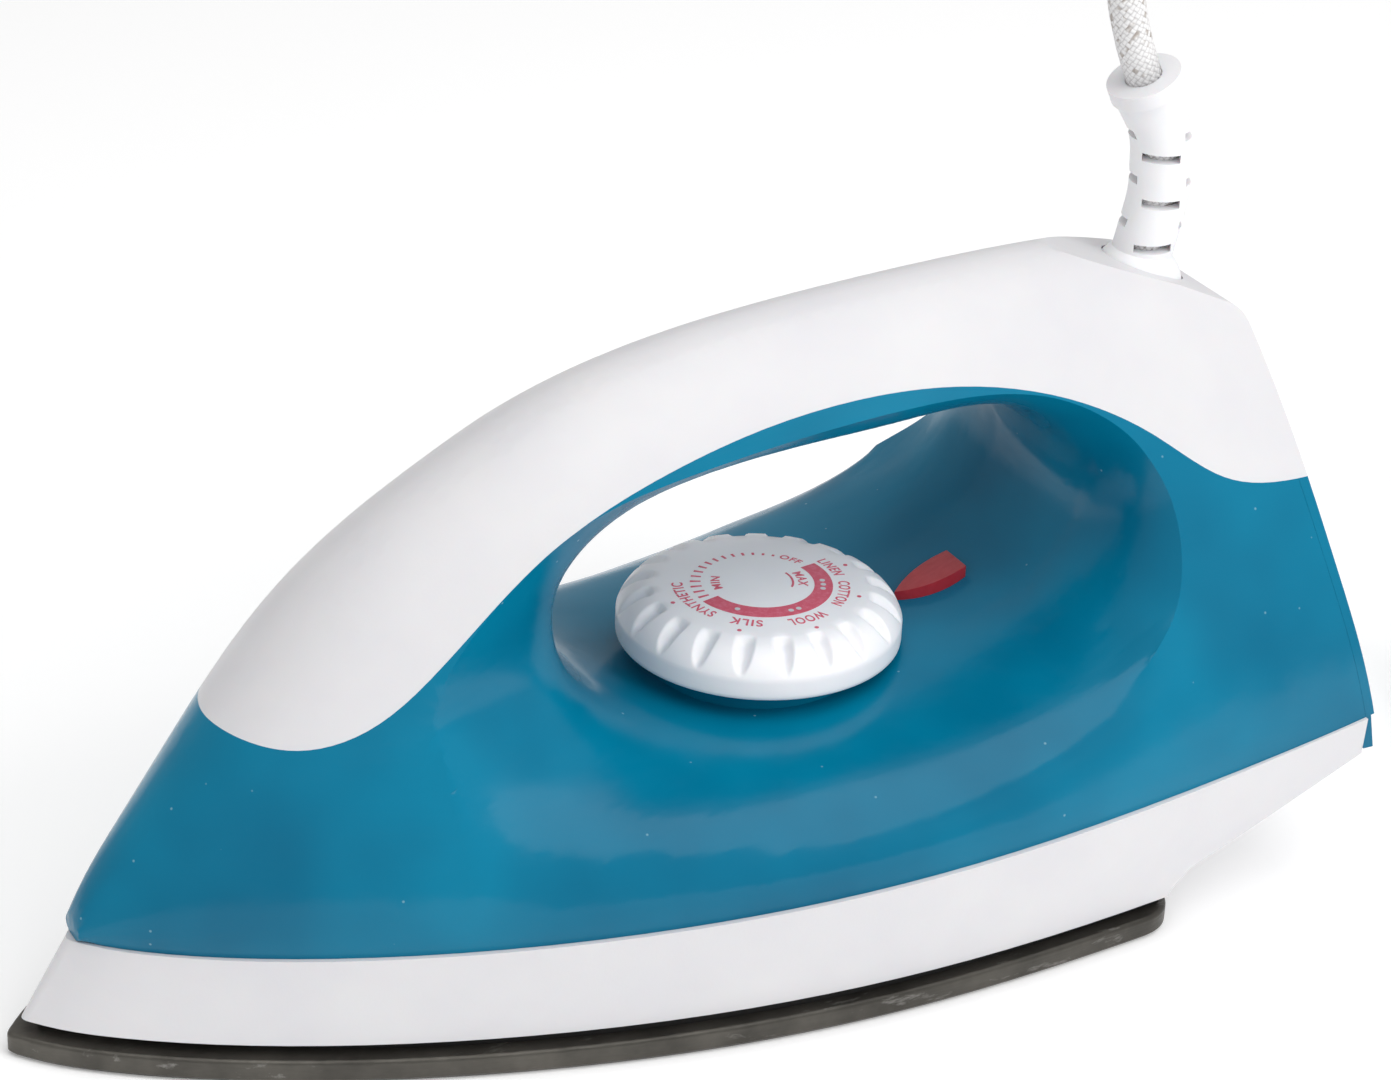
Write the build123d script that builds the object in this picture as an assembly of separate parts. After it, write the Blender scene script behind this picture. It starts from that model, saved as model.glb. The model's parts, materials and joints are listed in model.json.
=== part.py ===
"""Corded dry iron with a round dial, rebuilt as separate pieces. Millimetres.

Frame: +X points to the toe, +Y to the left side, +Z up.
z = 0 is the ironing face, y = 0 the plane of symmetry, and x = 0 lies below
the front half of the finger opening.
"""
import os
from math import atan, degrees, hypot, pi, radians, sin, tan

from build123d import *

os.makedirs("parts", exist_ok=True)

# ---- Driving dimensions -------------------------------------------------
# Soleplate
sole_tip_x = 125.0
sole_length = 211.5
sole_half_width = 54.0
sole_edge = 4.6              # height of the visible rim of the casting
sole_corner = 9.0            # plan radius of the heel corners
# Seam between the white skirt and the teal shell: a plane that climbs to the heel
seam_tip_x = 113.7
seam_tip_z = 21.0
seam_slope = 0.067
seam_half_width = 58.5
ledge = 1.0                  # the skirt stands this far outside the shell
# Skirt
skirt_bottom_z = 6.75
skirt_tip_x = 122.3
skirt_half_width = 52.4
# Shells
wall = 2.4
heel_top_x = -113.2          # heel face at the height heel_top_z
heel_top_z = 100.0
heel_seam_x = -127.0         # heel face at the height heel_seam_z
heel_seam_z = 33.0
cover_plate = 2.2            # thickness of the heel's cover plate
rear_ridge_x = -73.6         # ridge where the handle's top starts to slope down
rear_ridge_z = 121.6
rear_knee_x = -99.5          # knee of that slope
rear_knee_z = 113.4
rear_edge_z = 108.6          # its lower edge on the heel face
rear_edge_round = 5.0
# Dial
dial_x = -20.9
dial_radius = 26.4
dial_bottom_z = 52.2
dial_rim_z = 56.4            # top of the straight rim
dial_face_z = 61.9           # printed face near its edge
dial_print_radius = 18.2
deck_z = 48.6                # flat deck under the dial
# Cord and its swivelling guard
cord_d = 6.8
ball_x, ball_z, ball_r = -97.7, 109.4, 8.8
swivel_gap = 0.3


def save(name, part):
    """Write one node and report its solids and volume."""
    part.label = name
    export_step(part, f"parts/{name}.step")
    print(f"{name:24s} solids {len(part.solids()):2d}  volume {part.volume / 1000:8.2f} cm3")


# ---- Plan outline -------------------------------------------------------
full_back = 152.2            # distance from the tip to the widest point


def half_width(back, width, taper, length):
    """Half width of the boat-shaped plan, measured back from the tip."""
    if back <= 0:
        return 0.0
    if back < full_back:
        return width * (1 - (1 - back / full_back) ** 1.832) ** (1 / 1.315)
    return width - taper * ((back - full_back) / (length - full_back)) ** 2


def plan_wire(tip_x, width, taper, length, z_at, inset=0.0):
    """Closed plan outline, set in by inset, at the height z_at(x)."""
    stations = [1.2, 5, 14, 30, 52, 80, 115, 152, 185, length]
    side = []
    for back in stations:
        x = tip_x - inset * 1.7 - back * (length - inset * 2.7) / length
        y = half_width(back, width, taper, length) - inset
        if y > 0.6:
            side.append(Vector(x, y, z_at(x)))
    tip = tip_x - inset * 1.7
    left = list(reversed(side))
    right = [Vector(p.X, -p.Y, p.Z) for p in side]
    sides = Spline(*left, Vector(tip, 0, z_at(tip)), *right)
    return Wire([sides, Line(right[-1], left[0])])


def flat(z):
    return lambda x: z


def seam_z(x):
    return seam_tip_z + seam_slope * (seam_tip_x - x)


def sole_face(z, inset=0.0):
    return Face(plan_wire(sole_tip_x, sole_half_width, 3.5, sole_length, flat(z), inset))


def raise_up(face, height):
    """Extrude a level face upwards."""
    return extrude(face, amount=height, dir=(0, 0, 1))


def block(x0, x1, y0, y1, z0, z1):
    """Box given by its limits."""
    return Pos((x0 + x1) / 2, (y0 + y1) / 2, (z0 + z1) / 2) * Box(x1 - x0, y1 - y0, z1 - z0)


def rod(x, y, z0, z1, r):
    """Upright cylinder."""
    return Pos(x, y, (z0 + z1) / 2) * Cylinder(r, z1 - z0)


# ---- Body envelope ------------------------------------------------------
# Stations along the body: x, three points (y, z) up the side, and the crest height.
stations = [
    (112.6, (3.2, 23.2), (2.4, 24.4), (1.3, 25.2), 25.4),
    (102.0, (12.2, 28.5), (8.8, 34.5), (4.6, 39.4), 41.0),
    (90.0, (20.6, 31.5), (15.2, 43.0), (8.4, 52.8), 56.4),
    (78.0, (27.0, 34.0), (20.2, 48.5), (12.2, 65.2), 71.2),
    (54.5, (37.6, 36.0), (28.0, 53.0), (17.6, 80.0), 91.8),
    (31.5, (45.6, 38.0), (34.5, 56.0), (19.4, 91.0), 104.9),
    (-3.0, (53.0, 41.0), (40.2, 62.0), (19.8, 99.0), 115.4),
    (-39.0, (55.6, 44.0), (43.0, 66.0), (19.8, 103.0), 119.2),
    (-77.0, (54.4, 47.0), (43.0, 68.0), (20.4, 104.0), 120.6),
    (-104.0, (51.0, 48.5), (41.5, 68.0), (21.8, 101.0), 119.4),
    (-134.0, (46.0, 50.0), (38.0, 66.0), (21.0, 99.0), 117.0),
]


def body_section(x, low, mid, high, crest, inset):
    """One cross-section of the body: an arch that stands on the seam plane."""
    back = seam_tip_x - x
    base_y = half_width(back, seam_half_width, 6.6, 237) - ledge - inset
    half = [(base_y, seam_z(x))]
    for y, z in (low, mid, high):
        half.append((y - inset, z - inset * 0.4))
    left = [Vector(x, y, z) for y, z in half]
    right = [Vector(x, -y, z) for y, z in reversed(half)]
    arch = Spline(*left, Vector(x, 0, crest - inset), *right)
    return Face(Wire([arch, Line(right[-1], left[0])]))


def body_solid(inset=0.0):
    """Arched body without its opening; inset makes the hollow inside it."""
    used = stations if inset == 0 else stations[1:]
    return loft([body_section(*s, inset) for s in used])


# ---- Finger opening -----------------------------------------------------
# Each control point: its place (x, z) on the middle plane, how far it has
# moved (dx, dz) at the offset y_ref, and the power that it moves with.
opening_points = [
    ((24.5, 66.0), (32, -6), 24, 3.2),
    ((19.0, 54.5), (30, -8.5), 34, 3.2),
    ((5.0, 48.6), (22, -7), 45, 4.2),
    ((dial_x, deck_z), (5, -7.6), 53, 4.6),
    ((-50.0, 52.6), (-1, -4.8), 53, 4.4),
    ((-71.5, 62.0), (-4, -3.4), 47, 3.6),
    ((-79.0, 77.5), (-7, 0.5), 35, 3.2),
    ((-66.0, 94.0), (-12, 4.5), 27, 3.0),
    ((-41.0, 95.4), (0, 8.8), 20, 4.0),
    ((-17.0, 94.4), (1, 8.0), 20, 4.0),
    ((4.5, 91.6), (5, 6.8), 20, 4.0),
    ((19.4, 83.0), (14, 6), 20, 3.6),
]
opening_offsets = [0, 11, 19, 27, 36, 46, 58]


def opening_ring(y, grow):
    """Closed outline of the opening at the offset y from the middle plane."""
    reach = abs(y) + grow * 0.7
    mid_x, mid_z = -25.0, 72.0
    ring = []
    for (x, z), (dx, dz), y_ref, power in opening_points:
        t = (reach / y_ref) ** power
        t = t / (1 + 0.12 * t)
        px, pz = x + dx * t, z + dz * t
        away = hypot(px - mid_x, pz - mid_z)
        px += (px - mid_x) / away * grow
        pz += (pz - mid_z) / away * grow
        ring.append(Vector(px, y, pz))
    return Face(Wire([Spline(*ring, periodic=True)]))


def opening_solid(grow=0.0):
    """Trumpet-shaped cutter on both sides of the middle plane."""
    offsets = [-y for y in reversed(opening_offsets[1:])] + opening_offsets
    return loft([opening_ring(y, grow) for y in offsets])


# ---- Heel and parting surfaces ------------------------------------------
def heel_x(z):
    lean = (heel_top_x - heel_seam_x) / (heel_top_z - heel_seam_z)
    return heel_seam_x + lean * (z - heel_seam_z)


def heel_trim(shift=0.0, drop=0.0):
    """Solid in front of the leaning heel face and below the sloping rear top.

    shift moves the heel face forward, drop lowers the sloping top."""
    edge = rear_edge_z - drop
    side = [
        (heel_x(-10) + shift, -10),
        (140, -10),
        (140, 160),
        (-60, 160),
        (-60, rear_ridge_z + 4.3 - drop),
        (rear_ridge_x, rear_ridge_z - drop),
        (rear_knee_x, rear_knee_z - drop),
        (heel_x(edge) + shift, edge),
    ]
    outline = Polyline(*[Vector(x, 0, z) for x, z in side], close=True)
    solid = extrude(Face(Wire(outline.edges())), amount=80, both=True)
    edge_x, edge_z = side[-1]
    corner = [e for e in solid.edges() if abs(e.center().X - edge_x) < 0.5
              and abs(e.center().Z - edge_z) < 0.5]
    return fillet(corner, rear_edge_round)


def above_parting():
    """Everything above the line where the white cover meets the teal shell."""
    line = [
        (120, 66.5), (100, 61.6), (87.6, 59.4), (77.5, 58.6), (66.5, 61.8), (54.5, 70.8),
        (31.6, 89.4), (8.2, 99.0), (-27.4, 105.2), (-63.1, 102.4), (-85.6, 92.4),
        (-98.5, 83.8), (-111, 81.0), (-150, 80.6),
    ]
    curve = Spline(*[Vector(x, 0, z) for x, z in line])
    top = Polyline(Vector(-150, 0, 80.6), Vector(-150, 0, 170), Vector(120, 0, 170),
                   Vector(120, 0, 66.5))
    return extrude(Face(Wire([curve, *top.edges()])), amount=80, both=True)


# ---- Soleplate group ----------------------------------------------------
gasket_top = skirt_bottom_z
platform_inset = 6.4
rib_top = 10.5
element_z, element_r = 8.2, 3.3
element_end_x, element_y = -58.0, 31.0
front_bolt = (84.0, 0.0)
front_bolt_top = 60.0
rear_studs = [(-66.0, 22.0), (-66.0, -22.0)]
stud_r = 2.0
boss_top = 15.0


def element_path():
    """U-shaped centre line of the heating element."""
    points = [(element_end_x, element_y), (10, element_y), (72, 8), (72, -8),
              (10, -element_y), (element_end_x, -element_y)]
    return FilletPolyline(*[Vector(x, y, element_z) for x, y in points], radius=[50, 7, 7, 50])


def tube_along(path, r):
    start = Plane(origin=path @ 0, z_dir=path % 0)
    return sweep(start * Circle(r), path=path)


def make_soleplate():
    plate = raise_up(sole_face(0), sole_edge)
    heel = [e for e in plate.edges().filter_by(Axis.Z)]
    plate = fillet(heel, sole_corner)
    rims = plate.edges().filter_by_position(Axis.Z, sole_edge - 0.01, sole_edge + 0.01)
    plate = fillet(rims, 0.8)
    plate = chamfer(plate.edges().filter_by_position(Axis.Z, -0.01, 0.01), 1.0)
    plate += raise_up(sole_face(sole_edge, platform_inset), gasket_top - sole_edge)
    for side in (1, -1):
        plate += block(element_end_x, 12, side * element_y - 5.5, side * element_y + 5.5,
                       gasket_top - 1, rib_top)
    toe_rib = raise_up(sole_face(gasket_top - 1, 22), rib_top - gasket_top + 1)
    plate += toe_rib & block(8, 130, -60, 60, 0, 20)
    plate += block(-46, 6, -8, 8, gasket_top - 1, 9)
    for x, y in [front_bolt, *rear_studs]:
        plate += rod(x, y, gasket_top - 1, boss_top, 5.0)
    for x, y in [front_bolt, *rear_studs]:
        plate -= rod(x, y, 3.0, boss_top + 1, stud_r + 0.05)
    plate -= tube_along(element_path(), element_r + 0.05)
    for side in (1, -1):
        plate -= rod(element_end_x, side * element_y, element_z, rib_top + 1, element_r + 0.05)
        plate -= Pos(element_end_x, side * element_y, element_z) * Sphere(element_r + 0.05)
    return plate


def make_heating_element():
    """Sheathed U with cold pins that rise at its two ends."""
    element = tube_along(element_path(), element_r)
    for side in (1, -1):
        element += Pos(element_end_x, side * element_y, element_z) * Sphere(element_r)
        element += rod(element_end_x, side * element_y, element_z, 20, 2.6)
        element += rod(element_end_x, side * element_y, 19, 25, 1.2)
    return element


def make_gasket():
    """Black ring between the casting and the skirt."""
    ring = raise_up(sole_face(sole_edge, 3.2), gasket_top - sole_edge)
    return ring - raise_up(sole_face(sole_edge - 1, platform_inset - 0.4), 5)


# ---- Skirt --------------------------------------------------------------
def skirt_loft(inset, low, rise):
    """Side walls of the skirt as a solid, from the height low to above the seam."""
    bottom = Face(plan_wire(skirt_tip_x, skirt_half_width, 9.9, 252, flat(low), inset))
    top = Face(plan_wire(seam_tip_x, seam_half_width, 7.7, 243.7,
                         lambda x: seam_z(x) + rise, inset))
    return loft([bottom, top], ruled=True)


def underside(lift):
    """Prism below the skirt behind the soleplate: a step, then a slope to the heel."""
    side = [(-84.0, -5), (-84.0, 8.0 + lift), (-87.5, 12.6 + lift),
            (-127.4, 28.1 + lift), (-150, 37.0 + lift), (-150, -5)]
    outline = Polyline(*[Vector(x, 0, z) for x, z in side], close=True)
    return extrude(Face(Wire(outline.edges())), amount=80, both=True)


def make_skirt():
    outer = skirt_loft(0, skirt_bottom_z, 0) - underside(0)
    inner = skirt_loft(2.2, skirt_bottom_z + 2.0, 4) - underside(2.0)
    shell = (outer & heel_trim(cover_plate)) - (inner & heel_trim(cover_plate + 2.2))
    shell -= raise_up(sole_face(0, 11), 12)
    for side in (1, -1):
        post = rod(-98, side * 16, 12, 50, 3.2) - underside(0.5)
        shell += post
        shell -= rod(-98, side * 16, 38, 51, 1.45)
    return shell


# ---- Shells -------------------------------------------------------------
boss_r, boss_z = 21.5, 51.2
lens_tip_x, lens_rear_x, lens_half = -50.0, -63.2, 3.5


lens_roof_z = 50.9           # height of the lens's sloping roof at x = -40


def lens_plan(gap):
    """Drop-shaped plan of the indicator lens, pointed towards the toe."""
    points = [
        (lens_tip_x + 1.5 * gap, 0),
        (-55.0, lens_half - 0.7 + gap),
        (lens_rear_x - gap, lens_half + gap),
    ]
    left = Spline(*[Vector(x, y, 0) for x, y in points])
    right = Spline(*[Vector(x, -y, 0) for x, y in points])
    rear = Line(left @ 1, right @ 1)
    return Face(Wire([left, right, rear]))


def hollow():
    space = body_solid(wall) - opening_solid(wall)
    return space & heel_trim(cover_plate + wall, drop=wall + 0.2)


body = body_solid() & heel_trim(0)
full = body - opening_solid()
inside = hollow()
lid = above_parting()


def make_body_shell():
    shell = full + (rod(dial_x, 0, deck_z - 4, boss_z, boss_r) & body)
    shell = shell & heel_trim(cover_plate + 0.05)
    shell = shell - lid - inside
    pillars = rod(*front_bolt, boss_top + 0.8, 64, 4.5)
    for x, y in rear_studs:
        pillars += rod(x, y, boss_top + 0.8, 60, 4.5)
    rib = block(-125, -86, -40, 40, 77, 80)
    shell += (pillars & (inside - lid))
    shell += (rib & (inside - lid))
    shell -= rod(*front_bolt, 10, 70, stud_r + 0.1)
    for x, y in rear_studs:
        shell -= rod(x, y, 10, 30, stud_r + 0.05)
    shell -= rod(dial_x, 0, 40, 60, 4.5)
    shell -= raise_up(Pos(0, 0, 40) * lens_plan(0.1), 40)
    shell -= rod(ball_x, 0, 70, 90, 7.0)
    for side in (1, -1):
        shell -= rod(-103, side * 20, 70, 90, 1.6)
    shell -= block(-135, -112, -24, 24, 51, 74)
    shell -= heel_hole(1.6)
    return shell


heel_screw_z = 45.0


def heel_screw_place():
    """On the heel face, with +Z square into the body."""
    lean = degrees(atan((heel_top_x - heel_seam_x) / (heel_top_z - heel_seam_z)))
    return Pos(heel_x(heel_screw_z), 0, heel_screw_z) * Rot(0, 90 + lean, 0)


def heel_hole(r):
    """Hole for the screw of the heel plate."""
    return heel_screw_place() * Cylinder(r, 30)


def make_handle_cover():
    cover = (full & lid) - inside
    bosses = rod(*front_bolt, 50, 90, 4.5)
    for side in (1, -1):
        bosses += rod(-103, side * 20, 80, 104, 3.4)
    cover += bosses & inside & lid
    cover -= rod(*front_bolt, 50, front_bolt_top + 0.2, stud_r + 0.1)
    for side in (1, -1):
        cover -= rod(-103, side * 20, 78, 94, 1.45)
    cover -= Pos(ball_x, 0, ball_z) * Sphere(ball_r + swivel_gap)
    return cover


def make_heel_plate():
    plate = body - lid + block(-140, -105, -49.5, 49.5, 29.0, 42)
    plate = (plate & heel_trim(0)) - heel_trim(cover_plate)
    plate -= heel_hole(1.7)
    return plate


# ---- Dial ---------------------------------------------------------------
flutes = 20
flute_r = 2.9
shaft_r = 3.0


def make_dial():
    """Round knob: straight rim, fluted shoulder, slightly raised face, hollow below."""
    shoulder = ThreePointArc((dial_radius, dial_rim_z), (dial_radius - 2.4, 60.0),
                             (dial_print_radius + 1.6, dial_face_z))
    rest = Polyline((dial_print_radius + 1.6, dial_face_z), (6, 62.6), (0, 62.6),
                    (0, dial_bottom_z), (dial_radius - 0.8, dial_bottom_z),
                    (dial_radius, dial_bottom_z + 0.8), (dial_radius, dial_rim_z))
    profile = Face(Wire([shoulder, *rest.edges()]))
    knob = revolve(Plane.XZ * profile, axis=Axis.Z)
    under = Pos(0, 0, dial_bottom_z + 3.4) * Cylinder(dial_radius - 2.4, 7.2)
    hub = Pos(0, 0, dial_bottom_z + 4.5) * Cylinder(5.5, 9)
    knob = knob - (under - hub)
    tooth = Pos(dial_radius + 1.4, 0, 62.0) * Cylinder(flute_r, 6.5)
    for k in range(flutes):
        knob -= Rot(0, 0, k * 360 / flutes) * tooth
    knob -= Pos(0, 0, dial_bottom_z + 3) * Cylinder(shaft_r, 8)
    return Pos(dial_x, 0, 0) * knob


def make_dial_shaft():
    """Adjusting spindle that turns with the dial."""
    return rod(dial_x, 0, 21.5, dial_bottom_z + 7, shaft_r)


def make_dial_clip():
    """Round clip that keeps the spindle in its bush."""
    return rod(dial_x, 0, 35.0, 36.0, 5.4) - rod(dial_x, 0, 34, 37, shaft_r)


def make_lens():
    """Drop-shaped red lens that stands a little proud of the deck."""
    body_low = raise_up(Pos(0, 0, 48.5) * lens_plan(0), 20)
    above = Polyline((-80, 0, lens_roof_z + 13.6), (-80, 0, 90), (-40, 0, 90),
                     (-40, 0, lens_roof_z), close=True)
    roof = extrude(Face(Wire(above.edges())), amount=20, both=True)
    return body_low - roof


# ---- Thermostat ---------------------------------------------------------
stack_x = -40.0
blade_low_z, blade_high_z = 13.2, 17.0
bush_r = 5.0


def make_thermostat_base():
    base = block(-45, 4, -7, 7, 9.0, 10.2)
    return base - rod(stack_x, 0, 8, 12, 1.6)


def make_insulators():
    """Ceramic beads between the blades."""
    beads = [rod(stack_x, 0, 10.2, blade_low_z, 4.2), rod(stack_x, 0, blade_low_z + 0.8, blade_high_z, 4.2),
             rod(stack_x, 0, blade_high_z + 0.6, 20.0, 4.2)]
    return Compound([bead - rod(stack_x, 0, 8, 24, 1.6) for bead in beads])


def make_rivet():
    rivet = rod(stack_x, 0, 9.0, 21.2, 1.55)
    return rivet + rod(stack_x, 0, 20.0, 21.2, 3.0)


def make_bimetal():
    blade = block(-45.5, -4, -4, 4, blade_low_z, blade_low_z + 0.8)
    return blade - rod(stack_x, 0, 8, 24, 1.6)


def make_contact_blade():
    blade = block(-45.5, -12, -3, 3, blade_high_z, blade_high_z + 0.6)
    blade += rod(-14.5, 0, blade_high_z - 1.4, blade_high_z, 1.6)
    return blade - rod(stack_x, 0, 8, 24, 1.6)


def make_bush():
    """Bridge over the blades that carries the spindle."""
    bridge = block(-30, -12, -7, 7, 24.0, 25.5) + rod(dial_x, 0, 24.0, 34.6, bush_r)
    for side in (1, -1):
        bridge += block(-26, -16, side * 6.4 - 0.6, side * 6.4 + 0.6, 10.2, 24.5)
    return bridge - rod(dial_x, 0, 20, 40, shaft_r + 0.05)


# ---- Heat shield and fastenings -----------------------------------------
shield_z = boss_top
shield_t = 0.8


def make_heat_shield():
    plate = raise_up(sole_face(shield_z, 9.5), shield_t)
    plate -= block(-52, 10, -13, 13, 10, 20)
    for x, y in [front_bolt, *rear_studs]:
        plate -= rod(x, y, 10, 20, 2.4)
    for side in (1, -1):
        plate -= rod(element_end_x, side * element_y, 10, 20, 4.0)
    plate -= rod(-76, 0, 10, 20, 1.3)
    return plate


def make_rear_studs():
    return Compound([rod(x, y, 4.0, 28.0, stud_r) for x, y in rear_studs])


def make_front_bolt():
    """Long bolt that holds the handle cover, shell and soleplate together."""
    x, y = front_bolt
    return rod(x, y, 4.0, front_bolt_top, stud_r)


def make_handle_screws():
    screws = []
    for side in (1, -1):
        screws.append(rod(-103, side * 20, 77.0, 92, 1.4) + rod(-103, side * 20, 74.6, 77.0, 3.0))
    return Compound(screws)


def make_heel_screw():
    """Pan-head screw square to the leaning heel plate."""
    head = heel_screw_place() * Pos(0, 0, -1.05) * Cylinder(3.2, 2.0)
    shank = heel_screw_place() * Pos(0, 0, 3.9) * Cylinder(1.5, 8.0)
    return head + shank


# ---- Terminals, clamp and wires -----------------------------------------
block_x = (-105.0, -91.0)
block_z = (50.0, 63.0)
pole_y = (-8.0, 0.0, 8.0)
wire_r = 1.1


def make_terminal_block():
    base = block(*block_x, -20, 20, *block_z)
    for y in pole_y:
        base -= rod(-98, y, 45, 70, wire_r)
        base -= Pos(-93, y, 56.5) * Rot(0, 90, 0) * Cylinder(1.5, 5)
    for side in (1, -1):
        base -= rod(-98, side * 16, 45, 70, 1.45)
    return base


def make_terminal_screws():
    return Compound([Pos(-93.2, y, 56.5) * Rot(0, 90, 0) * Cylinder(1.45, 4.2) for y in pole_y])


def make_block_screws():
    return Compound([rod(-98, side * 16, 40, 63, 1.4) + rod(-98, side * 16, 63, 64.8, 2.8)
                     for side in (1, -1)])


tail_x = -98.0


def make_cord_clamp():
    """Two-ear saddle on the rib that grips the cord's end."""
    clamp = block(-106, -88.5, -12, 12, 80.0, 85.5)
    clamp -= rod(tail_x, 0, 78, 90, 3.3)
    for side in (1, -1):
        clamp -= rod(tail_x, side * 9, 78, 90, 1.4)
    return clamp


def make_clamp_screws():
    return Compound([rod(tail_x, side * 9, 80.2, 85.5, 1.35) + rod(tail_x, side * 9, 85.5, 87, 2.6)
                     for side in (1, -1)])


def make_cord_tail():
    """Sheathed end of the cord between the guard's ball and the clamp."""
    return rod(tail_x, 0, 78.0, 96.0, 3.3)


def wire(points, r=wire_r, bend=3.0):
    return tube_along(FilletPolyline(*[Vector(*p) for p in points], radius=bend), r)


def make_core_wires():
    """Three cores from the cord's end to the terminal block."""
    cores = []
    for y in pole_y:
        top = Vector(tail_x, y * 0.3, 78)
        if y == 0:
            cores.append(rod(tail_x, 0, block_z[1], 78, wire_r))
        else:
            bends = [(tail_x, y * 0.3, 74), (tail_x, y, 68)]
            cores.append(wire([top, *bends, (tail_x, y, block_z[1])], bend=1.5))
    return Compound(cores)


fuse_x = (-72.0, -58.0)
fuse_y, fuse_z = 10.0, 21.0


def make_live_wire():
    return wire([(-98, 8, block_z[0]), (-98, 8, 32), (-88, 9.5, 23), (-80, fuse_y, fuse_z),
                 (fuse_x[0], fuse_y, fuse_z)])


def make_neutral_wire():
    return wire([(-98, -8, block_z[0]), (-98, -8, 34), (-86, -18, 30), (-70, -30, 31),
                 (element_end_x, -element_y, 31), (element_end_x, -element_y, 25)], bend=2.5)


def make_earth_wire():
    return wire([(-98, 0, block_z[0]), (-98, 0, 34), (-90, 0, 26), (-76, 0, 24), (-76, 0, 17.6)], bend=2.5)


def make_earth_screw():
    return rod(-76, 0, 12.5, 17.6, 1.25) + rod(-76, 0, shield_z + shield_t, 17.6, 2.6)


def make_fuse():
    return Pos((fuse_x[0] + fuse_x[1]) / 2, fuse_y, fuse_z) * Rot(0, 90, 0) * Cylinder(2.0, 14)


def make_fuse_sleeve():
    centre = Pos((fuse_x[0] + fuse_x[1]) / 2, fuse_y, fuse_z) * Rot(0, 90, 0)
    return centre * Cylinder(3.0, 12) - centre * Cylinder(2.0, 14)


def make_link_wires():
    """Fuse to the upper blade, and lower blade to the element."""
    fuse_link = wire([(fuse_x[1], fuse_y, fuse_z), (-53, fuse_y, fuse_z),
                      (-50, 2, 17.3), (-45.5, 2, 17.3)],
                     r=0.8, bend=1.5)
    element_link = wire([(-45.5, 2.5, 13.6), (-49.5, 2.5, 13.6), (-53, 14, 22), (-57, 28, 31),
                         (element_end_x, element_y, 29), (element_end_x, element_y, 25)],
                        r=0.8, bend=1.2)
    return Compound([fuse_link, element_link])


def make_neon_lamp():
    bulb = Pos(-57, 0, 45.2) * Rot(0, 90, 0) * Cylinder(2.6, 10)
    return bulb + Pos(-51.9, 0, 45.2) * Sphere(2.5)


def make_lamp_leads():
    leads = []
    for side in (1, -1):
        leads.append(wire([(-62, side * 1.3, 45.2), (-68, side * 1.3, 45.2), (-84, side * 3.5, 60),
                           (block_x[1], side * 3.5, 60)], r=0.5, bend=3))
    return Compound(leads)


# ---- Cord guard ---------------------------------------------------------
guard_points = [(ball_x, 101.0), (-98.3, 114.0), (-101.3, 127.0), (-100.6, 138.5), (-95.2, 150.5)]
guard_r = 5.7
collar_r = 7.0
core_r = cord_d / 2
facing = 61.0                # direction of the slots' faces, from +X
slot_wide, slot_high = 7.0, 1.6


def guard_path():
    return FilletPolyline(*[Vector(x, 0, z) for x, z in guard_points], radius=[20, 22, 20])


def make_guard():
    """Bent sleeve on a swivel ball, with a collar and staggered slots."""
    path = guard_path()
    guard = tube_along(path, guard_r) & block(-130, -60, -20, 20, 108, 160)
    guard += Pos(ball_x, 0, ball_z) * Sphere(ball_r) & block(-130, -60, -20, 20, 103.5, 120)
    end = Plane(origin=path @ 1, z_dir=path % 1)
    guard += end * Pos(0, 0, -1.5) * Cylinder(collar_r, 3.0)
    guard += end * Pos(0, 0, -6.0) * Cone(guard_r, collar_r - 0.6, 6.0)
    guard -= tube_along(path, core_r + 0.1)
    levels = [(118.0, 0), (122.0, 90), (126.5, 0), (130.5, 90), (135.5, 0), (139.5, 90)]
    for z, turn in levels:
        x = -98.9 - 2.3 * sin(radians((z - 112) / 30 * 180))
        slot = Box(30, slot_wide, slot_high)
        guard -= Pos(x, 0, z) * Rot(0, 0, facing + turn) * slot
    return guard


def make_guard_core():
    """Braided cord inside the guard; it swivels with it."""
    return tube_along(guard_path(), core_r)


def make_guard_seat():
    """Split ring below the cover that the ball turns in."""
    ring = rod(ball_x, 0, 101.5, 108.0, 11.0) - Pos(ball_x, 0, ball_z) * Sphere(ball_r + swivel_gap)
    ring -= rod(ball_x, 0, 95, 110, 7.2)
    return ring & inside


# ---- Free cord, coil and plug -------------------------------------------
cord_length = 1800.0
coil_x, coil_y = -222.0, 40.0
coil_mean_r = 38.0
coil_wide, coil_high = 3, 2
coil_inner = coil_mean_r - coil_wide * cord_d / 2
coil_outer = coil_mean_r + coil_wide * cord_d / 2
coil_top = coil_high * cord_d
plug_x = coil_x - coil_outer + core_r
plug_y, plug_z = -2.0, 8.0
boot_length = 20.0
plug_half, plug_length, plug_height = 18.5, 42.0, 24.0
route = [
    (-95.2, 0, 150.5), (-86.2, 0, 170.5), (-90.3, 0, 198.5), (-107, 0, 219.5), (-132, -1, 229),
    (-159, -3, 225), (-181, -6, 208), (-195, -9, 182), (-202, -12, 148), (-205.5, -14, 112),
    (-207.2, -15.8, 79), (-206.8, -15.5, 52), (-201.2, -7.6, 31.2), (-190.5, 7.6, 17.7),
    (-181.4, 21.1, 10.6),
]
lead_route = [(plug_x, 32.0, core_r), (plug_x, 15.0, 3.8), (plug_x, plug_y, plug_z)]


def corner_radii(points):
    """Arc radius at each corner: 0.45 of the shorter run over the tangent of half the turn."""
    radii = []
    for before, here, after in zip(points, points[1:], points[2:]):
        run_in, run_out = here - before, after - here
        half_turn = radians(run_in.get_angle(run_out) / 2)
        radii.append(0.45 * min(run_in.length, run_out.length) / tan(half_turn))
    return radii


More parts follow.
